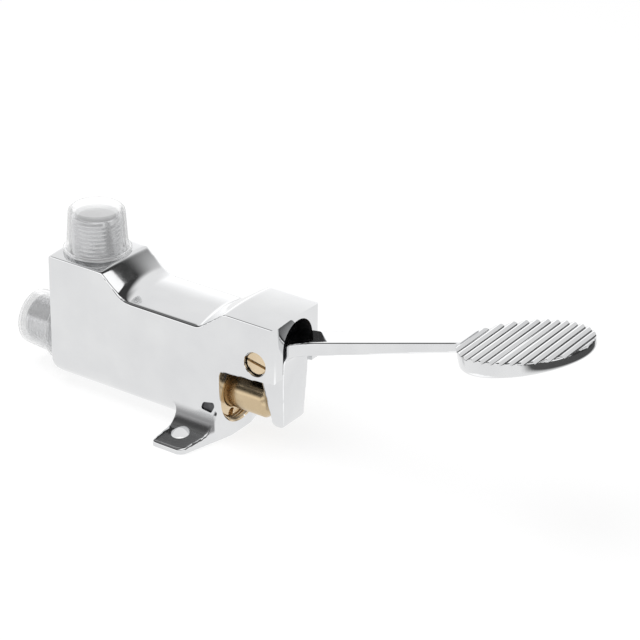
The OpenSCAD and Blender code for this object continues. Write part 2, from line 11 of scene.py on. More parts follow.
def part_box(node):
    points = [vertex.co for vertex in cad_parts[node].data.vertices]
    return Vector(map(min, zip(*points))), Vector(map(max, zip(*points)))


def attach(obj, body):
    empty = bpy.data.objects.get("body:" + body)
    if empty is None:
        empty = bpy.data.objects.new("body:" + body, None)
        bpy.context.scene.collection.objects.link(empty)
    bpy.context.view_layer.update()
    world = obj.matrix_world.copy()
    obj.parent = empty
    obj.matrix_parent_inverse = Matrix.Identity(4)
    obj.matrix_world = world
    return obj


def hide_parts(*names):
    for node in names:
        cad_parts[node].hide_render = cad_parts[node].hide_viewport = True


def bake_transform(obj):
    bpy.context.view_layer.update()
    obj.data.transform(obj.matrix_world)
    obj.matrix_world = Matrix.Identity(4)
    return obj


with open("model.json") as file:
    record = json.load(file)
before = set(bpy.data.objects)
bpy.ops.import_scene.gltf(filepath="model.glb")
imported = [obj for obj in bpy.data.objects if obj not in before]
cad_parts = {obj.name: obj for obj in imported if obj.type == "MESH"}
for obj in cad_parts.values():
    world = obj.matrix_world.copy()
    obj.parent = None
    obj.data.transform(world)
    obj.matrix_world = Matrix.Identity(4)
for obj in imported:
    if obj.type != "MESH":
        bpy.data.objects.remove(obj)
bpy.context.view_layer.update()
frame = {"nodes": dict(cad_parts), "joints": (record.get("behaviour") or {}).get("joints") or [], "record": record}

# Shapes are drawn in millimetres and scaled to metres when a piece is finished
MM = 0.001
ARC_STEPS = 8
TURN_STEPS = 128
SHARP_ANGLE = math.radians(32)
CORNER_SHARE = 0.48
BEVEL_ROUND = 0.5
SMOOTHING = 0.5
WELD = 1e-4
COIL_WELD_M = 1e-6
UP = Vector((0, 0, 1))
BACK = Vector((-1, 0, 0))
FRONT = Vector((1, 0, 0))
NEAR = Vector((0, -1, 0))
FAR = Vector((0, 1, 0))

# How far a cutter reaches past what it cuts
SPARE = 1.0

# Places of a piece's further materials in its list
SECOND = 1
THIRD = 2

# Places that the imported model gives
mounts = {m["name"]: m for m in frame["record"]["mounts"]}
joints = {j["name"]: j for j in frame["joints"]}
pivot = Vector(joints["pedal_hinge"]["pos_m"]) / MM
outlet_end = Vector(mounts["outlet_thread"]["pos_m"]) / MM
inlet_end = Vector(mounts["inlet_thread"]["pos_m"]) / MM
outlet_len = mounts["outlet_thread"]["dims"]["length_mm"]
inlet_len = mounts["inlet_thread"]["dims"]["length_mm"]
port_r = mounts["outlet_thread"]["dims"]["r_mm"]
floor_hole_r = mounts["floor_bolts"]["dims"]["hole_r_mm"]
floor_hole_y = mounts["floor_bolts"]["dims"]["spacing_y_mm"] / 2
body_low, body_high = (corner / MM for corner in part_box("valve_body"))
plunger_low, plunger_high = (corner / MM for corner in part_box("plunger"))
gland_low, gland_high = (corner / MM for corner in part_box("gland_nut"))
screw_low, screw_high = (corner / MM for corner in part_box("pivot_screw"))
core_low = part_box("valve_core")[0] / MM
stem_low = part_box("valve_stem")[0] / MM
valve_z = (plunger_low.z + plunger_high.z) / 2
block_top = body_high.z
back_x = body_low.x
front_x = body_high.x

# Cast body
BODY_W = 31.5
BLOCK_LEN = 27.6
SLOPE_RUN = 11.0
SADDLE_Z = 49.8
HOOD_Z = 58.9
HOOD_LEN = 24.7
HOOD_RISE = 11.9
CHEEK_Z = 32.8
CHEEK_RISE = 0.0812
CHAMBER_X = 13.9
BELLY_Z = 3.0
BELLY_R = 12.0
HEEL_R = 8.0
HOLLOW_R = 9.0
EDGE_R = 1.6
HOOD_EDGE_R = 3.0
TOP_CROWN = 0.8
SADDLE_CROWN = 2.4
CROWN_FROM_Z = 42.0
CROWN_FULL_Z = 49.0
CROWN_FADE = 11.5
CAST_VOXEL = 0.6
CAST_ROUNDS = 5
FRONT_SPARE = 2.0
TRIM_CLEAR = 0.02

# Slot of the lever
SLOT_W = 20.0
SLOT_BACK_X = 19.0
SLOT_CROWN_Z = 56.7

# Faces of the casting painted dark as shade: where they end, and how far past a surface they are looked for
SHADE_PAINT_FROM_Z = 39.0
SHADE_PAINT_FAR_LIP = 0.8
SHADE_PAINT_NEAR_LIP = 0.1
PAST_FACE = 0.1
PAST_WALL = 0.2
PAST_THREAD = 0.3
PIT_EDGE = 0.15
GLAND_ROOF_SIDE = 2.0

# Hollow corners over the lugs, in metres: where their painted shade, a darker and rougher chrome, starts and ends,
# and its colour and roughness
CORNER_ASIDE = (0.0150, 0.0157)
CORNER_FLOOR = (0.0042, 0.0060)
CORNER_TOP = (0.0090, 0.0135)
CORNER_BACK = (-0.0100, -0.0080)
CORNER_FRONT = (0.0115, 0.0135)
CORNER_SHADE_COLOUR = (0.28, 0.28, 0.285, 1)
CORNER_ROUGH = 0.35

# Floor flange
FLANGE_BACK = 7.5
FLANGE_FRONT = 7.5
FLANGE_NOSE_Y = 7.0
FLANGE_CORNER_R = 4.0
LUG_TIP_T = 2.6
LUG_TIP_R = 1.0
LUG_ROOT_T = 5.0
LUG_FILLET = 6.5
LUG_FLANK_Z = 17.5
# Shallow pits in the sides over the lugs, painted dark as shade
LUG_PIT = [(5.2, 13.9, 1.0), (10.4, 13.3, 1.0), (12.0, 16.6, 1.2), (11.6, 18.4, 0.8), (6.4, 17.2, 1.5)]
LUG_PIT_DEPTH = 0.8

# Holes and waterways
GLAND_R = 13.4
GLAND_BACK_X = 0.8
GLAND_CHAMFER = 1.2
GLAND_THREAD_PITCH = 1.5
GLAND_THREAD_DEPTH = 0.7
GLAND_THREAD_OUT = 0.5
WATER_R = 7.75
WATER_FLOOR_Z = 34.0
CORE_BORE_R = 10.4
CORE_NOSE_LEN = 5.0
THROAT_R = 8.0
THROAT_SPARE = 7.0
HOLE_CHAMFER = 0.5
PIVOT_SINK_R = 5.2
PIVOT_SINK = 3.3
PIVOT_HOLE_R = 3.55
PIVOT_THREAD_R = 3.1

# Helical threads: a tooth's half widths in shares of the pitch, and how deep its foot is sunk
TOOTH_FOOT = 0.44
TOOTH_TIP = 0.07
TOOTH_SINK = 0.2

# Ports
THREAD_PITCH = 1.814
THREAD_DEPTH = 1.1
THREAD_START = 0.4
PORT_GRIP = 8.0
PORT_CHAMFER = 0.5
MOUTH_R = 8.95
MOUTH_CHAMFER = 1.2

# Caps; the rounded end goes by steps down from its top and out from its radius
CAP_END_R = 11.7
CAP_END_STEPS = [(0, -2.0), (0.25, -1.0), (0.9, -0.25), (2.0, 0.05)]
CAP_INNER_STEP = (0.3, 0.4)
CAP_MOUTH_R = 12.7
CAP_RIM_R = 14.1
CAP_RIM_T = 1.4
CAP_RIM_FILLET = 0.5
CAP_RIM_EDGE = 0.4
CAP_WALL = 0.9
CAP_OVER = 2.8
CAP_STAND = 1.0

# Cap plastic: density by how edge on its wall is seen, and painted light glowing on its top by how far it faces up
CAP_EDGE_ON = (0.5, 0.9)
CAP_DENSITY = (0.26, 0.75)
CAP_PAINTED_LIGHT_FROM = (0.95, 0.99)
CAP_PAINTED_LIGHT = 0.45

# Lever, measured from the pivot
LEVER_W = 13.0
HUB_R = 7.5
HUB_W = 18.3
BAR_SLOPE = math.radians(17)
BAR_OFFSET = 5.4
BAR_ROOT_T = 6.2
BAR_END_T = 4.2
ROOT_W = 17.3
ROOT_FLARE = 8.0
ROOT_FLARE_R = 30.0
ARM_FRONT = 9.0
ARM_DRAFT = 1.1
ARM_LEN = 30.5
ARM_LOW_W = 14.0
ARM_LEAN = math.radians(14.3)
ARM_OFFSET = 5.0
ARM_FILLET = 5.0
ARM_SHOULDER_R = 4.0
ARM_END_R = 2.0
LEVER_VOXEL = 0.42
LEVER_ROUNDS = 8

# Pedal, measured from the middle of its tread
PEDAL_MIDDLE = Vector((110.35, 0, 37.75))
PEDAL_SLOPE = math.radians(14.15)
PEDAL_LEN = 54.6
PEDAL_W = 43.4
PEDAL_BACK_T = 9.0
PEDAL_TOE_T = 4.6
PEDAL_WALL = 3.0
PEDAL_SKIN = 2.2
PEDAL_EDGE_R = 2.2
PEDAL_EDGE_STEPS = 4
RIB_COUNT = 13
RIB_H = 1.2
RIB_CREST = 0.7
RIB_DROP = 0.85
RIB_SKIM = 0.03
COMB_H = 3.0

# Turned brass
PLUNGER_R = 7.9
PLUNGER_CHAMFER = 2.0
GLAND_NUT_R = 12.65
GLAND_BORE_R = 8.2
SPANNER_HOLE_R = 1.7
SPANNER_HOLE_DEPTH = 2.5
SPANNER_HOLE_ANGLE = math.radians(72)
SCREW_HEAD_R = 4.8
SCREW_HEAD_T = 2.0
SCREW_R = 3.5
DRIVER_SLOT_W = 1.3
DRIVER_SLOT_DEPTH = 1.1
DRIVER_SLOT_ANGLE = math.radians(11)
EDGE_BREAK = 0.35
EASE = 0.1
EASE_LEN = 0.15

# Brass colours, each a dark and a light one, and ranges of roughness
BRASS = ((0.66, 0.53, 0.36), (0.74, 0.60, 0.42))
BRASS_ROUGH = (0.16, 0.28)
ROD_BRASS = ((0.56, 0.44, 0.28), (0.62, 0.49, 0.32))
ROD_ROUGH = (0.20, 0.26)

# The part of a noise's range that its colours and values are spread over
NOISE_LOW = 0.3
NOISE_HIGH = 0.7


# Shapes

def in_space(u, v, w, axis):
    """A point of an outline, u and v in its plane and w along the axis that it is carried on."""
    return {"X": (w, u, v), "Y": (u, w, v), "Z": (u, v, w)}[axis]


def corner_reach(before, corner, after, radius):
    """How far along its two sides a rounded corner starts."""
    one = Vector(before[:2]) - Vector(corner[:2])
    two = Vector(after[:2]) - Vector(corner[:2])
    return min(radius / math.tan(one.angle(two) / 2), CORNER_SHARE * min(one.length, two.length))


def prism(corners, axis, low, high):
    """A closed prism: an outline of (u, v, radius) corners carried along an axis from low to high."""
    bm = bmesh.new()
    verts = [bm.verts.new(in_space(u, v, low, axis)) for u, v, radius in corners]
    bm.faces.new(verts)
    for i, corner in enumerate(corners):
        if corner[2]:
            reach = corner_reach(corners[i - 1], corner, corners[(i + 1) % len(corners)], corner[2])
            bmesh.ops.bevel(bm, geom=[verts[i]], offset=reach, offset_type="OFFSET", segments=ARC_STEPS,
                            profile=BEVEL_ROUND, affect="VERTICES", material=-1)
    grown = bmesh.ops.extrude_face_region(bm, geom=bm.faces[:])
    moved = [g for g in grown["geom"] if isinstance(g, bmesh.types.BMVert)]
    bmesh.ops.translate(bm, verts=moved, vec=in_space(0, 0, high - low, axis))
    bmesh.ops.recalc_face_normals(bm, faces=bm.faces)
    return bm


def axis_at(origin, direction):
    """The matrix that stands a piece drawn along Z on a place, along a direction."""
    turn = Vector(direction).to_track_quat("Z", "Y").to_matrix().to_4x4()
    return Matrix.Translation(origin) @ turn


def on_valve_axis(x):
    """The place on the valve's axis at one x, facing forwards."""
    return axis_at((x, 0, valve_z), FRONT)


def turned(profile, place, closed=False):
    """A turned piece from (distance along the axis, radius) points; a closed profile makes a ring."""
    bm = bmesh.new()
    verts = [bm.verts.new((radius, 0, along)) for along, radius in profile]
    ends = verts[1:] + verts[:1] if closed else verts[1:]
    edges = [bm.edges.new(pair) for pair in zip(verts, ends)]
    bmesh.ops.spin(bm, geom=verts + edges, cent=(0, 0, 0), axis=(0, 0, 1), angle=math.tau,
                   steps=TURN_STEPS, use_merge=True)
    bmesh.ops.remove_doubles(bm, verts=bm.verts, dist=WELD)
    bmesh.ops.recalc_face_normals(bm, faces=bm.faces)
    bm.transform(place)
    return bm


def thread(root_r, crest_r, pitch, low, high, place):
    """One helical tooth from low to high, sunk a little into the cylinder that it runs round."""
    foot_r = root_r + math.copysign(TOOTH_SINK, root_r - crest_r)
    tooth = ((foot_r, -TOOTH_FOOT), (crest_r, -TOOTH_TIP), (crest_r, TOOTH_TIP), (foot_r, TOOTH_FOOT))
    turns = (high - low) / pitch - 1
    steps = round(turns * TURN_STEPS / 2)
    bm = bmesh.new()
    verts = [bm.verts.new((r, 0, low + pitch * (0.5 + share))) for r, share in tooth]
    edges = [bm.edges.new(pair) for pair in zip(verts, verts[1:] + verts[:1])]
    bmesh.ops.spin(bm, geom=verts + edges, cent=(0, 0, 0), axis=(0, 0, 1), angle=math.tau * turns,
                   dvec=(0, 0, pitch * turns / steps), steps=steps)
    bmesh.ops.edgeloop_fill(bm, edges=[e for e in bm.edges if e.is_boundary])
    bmesh.ops.recalc_face_normals(bm, faces=bm.faces)
    bm.transform(place)
    return bm


def as_object(bm, name="shape"):
    """A shape as an object in the scene; the shape is freed."""
    mesh = bpy.data.meshes.new(name)
    bm.to_mesh(mesh)
    bm.free()
    obj = bpy.data.objects.new(name, mesh)
    bpy.context.scene.collection.objects.link(obj)
    return obj


def discard(obj):
    """Takes an object and its mesh out of the file."""
    mesh = obj.data
    bpy.data.objects.remove(obj)
    bpy.data.meshes.remove(mesh)


def evaluated(obj):
    """The shape that an object's modifiers give; the object is removed."""
    bm = bmesh.new()
    bm.from_object(obj, bpy.context.evaluated_depsgraph_get())
    discard(obj)
    return bm


def combine(base, tool, operation):
    """Union, difference or intersection of two closed shapes."""
    base_obj, tool_obj = as_object(base), as_object(tool)
    boolean = base_obj.modifiers.new("combine", "BOOLEAN")
    boolean.operation = operation
    boolean.solver = "MANIFOLD"
    boolean.object = tool_obj
    result = evaluated(base_obj)
    discard(tool_obj)
    return result


def soften(bm, voxel, rounds):
    """The shape as it comes out of a mould and off the polishing wheel: every edge a little round."""
    obj = as_object(bm)
    remesh = obj.modifiers.new("remesh", "REMESH")
    remesh.mode = "VOXEL"
    remesh.voxel_size = voxel
    soft = evaluated(obj)
    for _ in range(rounds):
        bmesh.ops.smooth_vert(soft, verts=soft.verts, factor=SMOOTHING, use_axis_x=True, use_axis_y=True,
                              use_axis_z=True)
    return soft


def painted(bm, index, inside):
    """Gives another material to the faces whose middles pass a test."""
    for face in bm.faces:
        if inside(face.calc_center_median()):
            face.material_index = index
    return bm


def finished(name, bm, materials):
    """An object from a shape in metres, with its materials, and smooth apart from its sharp edges."""
    obj = as_object(bm, name)
    obj.data.polygons.foreach_set("use_smooth", [True] * len(obj.data.polygons))
    obj.data.set_sharp_from_angle(angle=SHARP_ANGLE)
    for material in materials:
        obj.data.materials.append(material)
    return obj


def piece(name, bm, materials, body, node):
    """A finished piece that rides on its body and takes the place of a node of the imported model."""
    bmesh.ops.scale(bm, vec=(MM, MM, MM), verts=bm.verts)
    obj = finished(name, bm, materials)
    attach(obj, body)
    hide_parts(node)


# Materials

def new_material(name, metallic=0.0):
    """A material, its node tree and its shader."""
    material = bpy.data.materials.new(name)
    material.use_nodes = True
    shader = material.node_tree.nodes["Principled BSDF"]
    shader.inputs["Metallic"].default_value = metallic
    return material, material.node_tree, shader


def feed(tree, value, socket):
    """Gives an input a plain number or another node's output."""
    if isinstance(value, float):
        socket.default_value = value
    else:
        tree.links.new(value, socket)


def axes(tree, kind, output):
    """The x, y and z of a new node's vector."""
    source = tree.nodes.new(kind)
    apart = tree.nodes.new("ShaderNodeSeparateXYZ")
    tree.links.new(source.outputs[output], apart.inputs[0])
    return [apart.outputs[name] for name in "XYZ"]


def noise(tree, scale, detail=3.0):
    """Noise on object coordinates, with its scale in waves a metre."""
    place = tree.nodes.new("ShaderNodeTexCoord")
    texture = tree.nodes.new("ShaderNodeTexNoise")
    texture.inputs["Scale"].default_value = scale
    texture.inputs["Detail"].default_value = detail
    tree.links.new(place.outputs["Object"], texture.inputs["Vector"])
    return texture.outputs["Fac"]


def stepped(tree, source, low, high, below=0.0, above=1.0, ease="SMOOTHSTEP"):
    """A step: one value below low, another above high."""
    step = tree.nodes.new("ShaderNodeMapRange")
    step.interpolation_type = ease
    step.inputs["From Min"].default_value = low
    step.inputs["From Max"].default_value = high
    step.inputs["To Min"].default_value = below
    step.inputs["To Max"].default_value = above
    tree.links.new(source, step.inputs["Value"])
    return step.outputs["Result"]


def worked(tree, operation, one, *others):
    """Values put through a sum one after another; a plain number may stand for a value."""
    for other in others:
        node = tree.nodes.new("ShaderNodeMath")
        node.operation = operation
        tree.links.new(one, node.inputs[0])
        feed(tree, other, node.inputs[1])
        one = node.outputs[0]
    return one


def chosen(tree, factor, otherwise, this):
    """One of two values, by a factor of 0 or 1, or a mix of them between."""
    mix = tree.nodes.new("ShaderNodeMix")
    mix.data_type = "FLOAT"
    tree.links.new(factor, mix.inputs["Factor"])
    feed(tree, otherwise, mix.inputs["A"])
    feed(tree, this, mix.inputs["B"])
    return mix.outputs["Result"]


def varied(tree, scale, low, high):
    """A value that varies in patches between two."""
    return stepped(tree, noise(tree, scale), NOISE_LOW, NOISE_HIGH, low, high, "LINEAR")


def tinted(tree, scale, dark, light):
    """A colour that varies in patches between two."""
    ramp = tree.nodes.new("ShaderNodeValToRGB")
    ramp.color_ramp.elements[0].position = NOISE_LOW
    ramp.color_ramp.elements[0].color = (*dark, 1)
    ramp.color_ramp.elements[1].position = NOISE_HIGH
    ramp.color_ramp.elements[1].color = (*light, 1)
    tree.links.new(noise(tree, scale), ramp.inputs["Fac"])
    return ramp.outputs["Color"]


def coloured(tree, shader, scale, dark, light):
    """Gives a shader a colour in patches."""
    tree.links.new(tinted(tree, scale, dark, light), shader.inputs["Base Color"])


def roughened(tree, shader, scale, low, high):
    """Gives a shader a roughness in patches."""
    tree.links.new(varied(tree, scale, low, high), shader.inputs["Roughness"])


def bumped(tree, shader, source, strength, distance):
    """Gives a shader a relief, with its height in metres."""
    bump = tree.nodes.new("ShaderNodeBump")
    bump.inputs["Strength"].default_value = strength
    bump.inputs["Distance"].default_value = distance
    tree.links.new(source, bump.inputs["Height"])
    tree.links.new(bump.outputs["Normal"], shader.inputs["Normal"])


def lug_corner_shade(tree):
    """1 in the hollow corners between the lugs and the body, where shade is painted."""
    x, y, z = axes(tree, "ShaderNodeTexCoord", "Object")
    aside = tree.nodes.new("ShaderNodeMath")
    aside.operation = "ABSOLUTE"
    tree.links.new(y, aside.inputs[0])
    return worked(tree, "MULTIPLY", stepped(tree, aside.outputs[0], *CORNER_ASIDE),
                  stepped(tree, z, *CORNER_FLOOR), stepped(tree, z, *CORNER_TOP, 1.0, 0.0),
                  stepped(tree, x, *CORNER_BACK), stepped(tree, x, *CORNER_FRONT, 1.0, 0.0))


def chrome_plate():
    """Polished chrome on a zinc casting: mirror-like, with a faint wave, and painted shade, darker and rougher, in
    the hollow corners over the lugs.
    """
    material, tree, shader = new_material("chrome_plate", metallic=1.0)
    # Painted shade: the hollow corners over the lugs take a dark chrome colour
    corner = lug_corner_shade(tree)
    mix = tree.nodes.new("ShaderNodeMix")
    mix.data_type = "RGBA"
    tree.links.new(corner, mix.inputs["Factor"])
    plate = tinted(tree, scale=45, dark=(0.70, 0.705, 0.715), light=(0.76, 0.765, 0.77))
    tree.links.new(plate, mix.inputs["A"])
    mix.inputs["B"].default_value = CORNER_SHADE_COLOUR
    tree.links.new(mix.outputs["Result"], shader.inputs["Base Color"])
    polish = varied(tree, scale=160, low=0.05, high=0.10)
    tree.links.new(chosen(tree, corner, polish, CORNER_ROUGH), shader.inputs["Roughness"])
    bumped(tree, shader, noise(tree, scale=70, detail=1.0), strength=0.12, distance=0.0004)
    return material


def thread_chrome():
    """Chrome on cut threads, which are plated but not polished."""
    material, tree, shader = new_material("thread_chrome", metallic=1.0)
    coloured(tree, shader, scale=200, dark=(0.74, 0.745, 0.755), light=(0.80, 0.805, 0.81))
    roughened(tree, shader, scale=500, low=0.12, high=0.18)
    return material


def painted_shade_cast():
    """Painted shade: a near-black plating for the lever's slot, the cheeks' undersides and the pits over the lugs.
    """
    material, tree, shader = new_material("painted_shade_cast", metallic=1.0)
    coloured(tree, shader, scale=300, dark=(0.10, 0.10, 0.105), light=(0.16, 0.16, 0.165))
    shader.inputs["Roughness"].default_value = 0.5
    return material


def bare_zinc():
    """The waterways, which the plating doesn't reach."""
    material, tree, shader = new_material("bare_zinc", metallic=0.4)
    coloured(tree, shader, scale=250, dark=(0.60, 0.60, 0.61), light=(0.70, 0.70, 0.71))
    shader.inputs["Roughness"].default_value = 0.55
    return material


def turned_brass(name, axis, colours=BRASS, rough=BRASS_ROUGH):
    """Brass with the fine rings that a turning tool leaves along one axis."""
    material, tree, shader = new_material(name, metallic=1.0)
    coloured(tree, shader, 90, *colours)
    roughened(tree, shader, 300, *rough)
    place = tree.nodes.new("ShaderNodeTexCoord")
    rings = tree.nodes.new("ShaderNodeTexWave")
    rings.wave_type = "BANDS"
    rings.bands_direction = axis
    rings.inputs["Scale"].default_value = 900
    rings.inputs["Distortion"].default_value = 1.5
    tree.links.new(place.outputs["Object"], rings.inputs["Vector"])
    bumped(tree, shader, rings.outputs["Fac"], strength=0.08, distance=0.00005)
    return material


def seal_rubber():
    """Black rubber of the seals, with a fine grain."""
    material, tree, shader = new_material("seal_rubber")
    coloured(tree, shader, scale=400, dark=(0.02, 0.02, 0.02), light=(0.04, 0.04, 0.042))
    shader.inputs["Roughness"].default_value = 0.65
    bumped(tree, shader, noise(tree, scale=1500), strength=0.2, distance=0.0001)
    return material


def drawn_steel():
    """Stainless steel of the stem and the spring."""
    material, tree, shader = new_material("drawn_steel", metallic=1.0)
    coloured(tree, shader, scale=200, dark=(0.52, 0.53, 0.55), light=(0.62, 0.63, 0.65))
    roughened(tree, shader, scale=600, low=0.22, high=0.34)
    return material


def milky_plastic():
    """Soft translucent plastic of the thread caps, denser where its wall is seen edge on, with painted light
    glowing on its upward faces.
    """
    material, tree, shader = new_material("milky_plastic")
    coloured(tree, shader, scale=120, dark=(0.82, 0.825, 0.83), light=(0.88, 0.885, 0.89))
    roughened(tree, shader, scale=500, low=0.15, high=0.25)
    edge = tree.nodes.new("ShaderNodeLayerWeight")
    edge.inputs["Blend"].default_value = 0.5
    density = stepped(tree, edge.outputs["Facing"], *CAP_EDGE_ON, *CAP_DENSITY)
    tree.links.new(density, shader.inputs["Alpha"])
    # Painted light: faces that point up glow white, as if lit from above
    facing_up = axes(tree, "ShaderNodeNewGeometry", "Normal")[2]
    shader.inputs["Emission Color"].default_value = (1, 1, 1, 1)
    tree.links.new(stepped(tree, facing_up, *CAP_PAINTED_LIGHT_FROM, 0.0, CAP_PAINTED_LIGHT), shader.inputs["Emission Strength"])
    bumped(tree, shader, noise(tree, scale=220), strength=0.06, distance=0.0003)
    return material


# Cast body

def body_blank():
    """The casting before its holes are drilled: softened as a whole, then milled flat in front."""
    half = BODY_W / 2
    tall = max(block_top, HOOD_Z) + SPARE
    end_x = front_x + FRONT_SPARE
    hood_x = front_x - HOOD_LEN
    side = prism([
        (back_x, BELLY_Z, HEEL_R),
        (back_x, block_top, EDGE_R),
        (back_x + BLOCK_LEN, block_top, EDGE_R),
        (back_x + BLOCK_LEN + SLOPE_RUN, SADDLE_Z, HOLLOW_R),
        (hood_x - HOOD_RISE, SADDLE_Z, 2 * EDGE_R),
        (hood_x, HOOD_Z, 2 * EDGE_R),
        (end_x, HOOD_Z, 0),
        (end_x, CHEEK_Z + (end_x - CHAMBER_X) * CHEEK_RISE, 0),
        (CHAMBER_X, CHEEK_Z, EDGE_R),
        (CHAMBER_X, BELLY_Z, 0)], "Y", -half, half)
    ends = prism([
        (-half, tall, 0),
        (-half, BELLY_Z, BELLY_R),
        (half, BELLY_Z, BELLY_R),
        (half, tall, 0)], "X", back_x - SPARE, end_x + SPARE)
    plan = prism([
        (back_x, -half, EDGE_R),
        (end_x, -half, 0),
        (end_x, half, 0),
        (back_x, half, EDGE_R)], "Z", -SPARE, tall)
    blank = combine(combine(side, ends, "INTERSECT"), plan, "INTERSECT")
    blank = combine(blank, floor_flange(), "UNION")
    crown_r = SLOT_W / 2
    slot = prism([
        (-crown_r, BELLY_Z - SPARE, 0),
        (crown_r, BELLY_Z - SPARE, 0),
        (crown_r, SLOT_CROWN_Z, crown_r),
        (-crown_r, SLOT_CROWN_Z, crown_r)], "X", SLOT_BACK_X, end_x + SPARE)
    blank = combine(blank, slot, "DIFFERENCE")
    return milled_front(crowned(soften(blank, CAST_VOXEL, CAST_ROUNDS)))


def floor_flange():
    """Two lugs that thicken towards the body and run into it with a fillet."""
    half = BODY_W / 2
    tip_y = body_high.y
    section = prism([
        (-tip_y, 0, 0),
        (-tip_y, LUG_TIP_T, LUG_TIP_R),
        (-half, LUG_ROOT_T, LUG_FILLET),
        (-half, LUG_FLANK_Z, 0),
        (half, LUG_FLANK_Z, 0),
        (half, LUG_ROOT_T, LUG_FILLET),
        (tip_y, LUG_TIP_T, LUG_TIP_R),
        (tip_y, 0, 0)], "X", -FLANGE_BACK - SPARE, CHAMBER_X)
    plan = prism([
        (-FLANGE_BACK, -tip_y, EDGE_R),
        (FLANGE_FRONT, -tip_y, FLANGE_CORNER_R),
        (CHAMBER_X, -FLANGE_NOSE_Y, EDGE_R),
        (CHAMBER_X, FLANGE_NOSE_Y, EDGE_R),
        (FLANGE_FRONT, tip_y, FLANGE_CORNER_R),
        (-FLANGE_BACK, tip_y, EDGE_R)], "Z", -SPARE, LUG_FLANK_Z + SPARE)
    return combine(section, plan, "INTERSECT")


def crowned(bm):
    """The top of the casting, higher in the middle than at its long edges, most of all on the saddle."""
    half = BODY_W / 2
    saddle_from = back_x + BLOCK_LEN
    saddle_to = front_x - HOOD_LEN
    for vert in bm.verts:
        share = min(max((vert.co.z - CROWN_FROM_Z) / (CROWN_FULL_Z - CROWN_FROM_Z), 0), 1)
        reach = min(vert.co.x - saddle_from, saddle_to - vert.co.x) / CROWN_FADE
        height = TOP_CROWN + (SADDLE_CROWN - TOP_CROWN) * min(max(reach, 0), 1)
        vert.co.z += height * share * (1 - (vert.co.y / half) ** 2)
    return bm


def milled_front(bm):
    """The hood cut off flat in front, its upright edges and the cheeks' lower corners rounded."""
    side = BODY_W / 2 + TRIM_CLEAR
    far = 2 * BODY_W
    under = CHEEK_Z - TRIM_CLEAR
    start_x = CHAMBER_X + 2 * EDGE_R
    profile = prism([
        (back_x - SPARE, -SPARE, 0),
        (back_x - SPARE, far + HOOD_Z, 0),
        (front_x, far + HOOD_Z, 0),
        (front_x, under + (front_x - CHAMBER_X) * CHEEK_RISE, EDGE_R),
        (start_x, under + (start_x - CHAMBER_X) * CHEEK_RISE, 0),
        (start_x, -SPARE, 0)], "Y", -far, far)
    plan = prism([
        (back_x - SPARE, -far, 0),
        (start_x, -far, 0),
        (start_x, -side, 0),
        (front_x, -side, HOOD_EDGE_R),
        (front_x, side, HOOD_EDGE_R),
        (start_x, side, 0),
        (start_x, far, 0),
        (back_x - SPARE, far, 0)], "Z", -SPARE, far + HOOD_Z)
    return combine(combine(bm, profile, "INTERSECT"), plan, "INTERSECT")


def drill(length, radius, place, chamfer=HOLE_CHAMFER):
    """A drill with a countersink that breaks the edge of the hole at the place's origin."""
    return turned([
        (-length, 0),
        (-length, radius),
        (-chamfer, radius),
        (SPARE, radius + chamfer + SPARE),
        (SPARE, 0)], place)


def valve_bore():
    """The stepped bore that the valve core sits in, with room behind it for the disc to open."""
    back = stem_low.x - THROAT_SPARE
    shoulder = core_low.x + CORE_NOSE_LEN
    front = GLAND_BACK_X + SPARE
    return turned([
        (back, 0),
        (back, THROAT_R),
        (shoulder, THROAT_R),
        (shoulder, CORE_BORE_R),
        (front, CORE_BORE_R),
        (front, 0)], on_valve_axis(0))


def gland_tap():
    """The threaded hole that the gland nut sits in."""
    mouth = on_valve_axis(CHAMBER_X)
    depth = CHAMBER_X - GLAND_BACK_X
    minor_r = GLAND_R - GLAND_THREAD_DEPTH
    hole = drill(depth, minor_r, mouth, GLAND_CHAMFER)
    tooth = thread(minor_r, GLAND_R, GLAND_THREAD_PITCH, -depth, GLAND_THREAD_OUT, mouth)
    return combine(hole, tooth, "UNION")


def cast_body():
    """The casting with its holes, waterways and pits, its gland thread painted brass and painted shade in its
    slot, under its cheeks and in its pits.
    """
    body = body_blank()
    near_cheek = axis_at((pivot.x, -BODY_W / 2, pivot.z), NEAR)
    far_cheek = axis_at((pivot.x, BODY_W / 2, pivot.z), FAR)
    cuts = [
        gland_tap(),
        valve_bore(),
        drill(PIVOT_SINK, PIVOT_SINK_R, near_cheek, EASE),
        drill(BODY_W / 2, PIVOT_HOLE_R, near_cheek),
        drill(BODY_W / 2, PIVOT_THREAD_R, far_cheek, EDGE_BREAK),
        drill(outlet_end.z - WATER_FLOOR_Z, WATER_R, axis_at(outlet_end, UP)),
        drill(stem_low.x - inlet_end.x, WATER_R, axis_at(inlet_end, BACK)),
        drill(PORT_GRIP, port_r, axis_at((outlet_end.x, 0, block_top), UP), EDGE_BREAK),
        drill(PORT_GRIP, port_r, axis_at((back_x, 0, inlet_end.z), BACK), EDGE_BREAK)]
    for side in (-1, 1):
        over_lug = axis_at((0, side * floor_hole_y, 2 * LUG_ROOT_T), UP)
        cuts.append(drill(3 * LUG_ROOT_T, floor_hole_r, over_lug))
        wall = side * BODY_W / 2
        cuts.append(prism(LUG_PIT, "Y", wall - side * LUG_PIT_DEPTH, wall + side * SPARE))
    for cut in cuts:
        body = combine(body, cut, "DIFFERENCE")
    body = painted(body, SECOND, in_gland_hole)
    # Painted shade: the slot, the cheeks' undersides and the pits take the near-black plating
    for shaded_place in (in_lever_slot, under_cheeks, in_lug_pit):
        body = painted(body, THIRD, shaded_place)
    return body


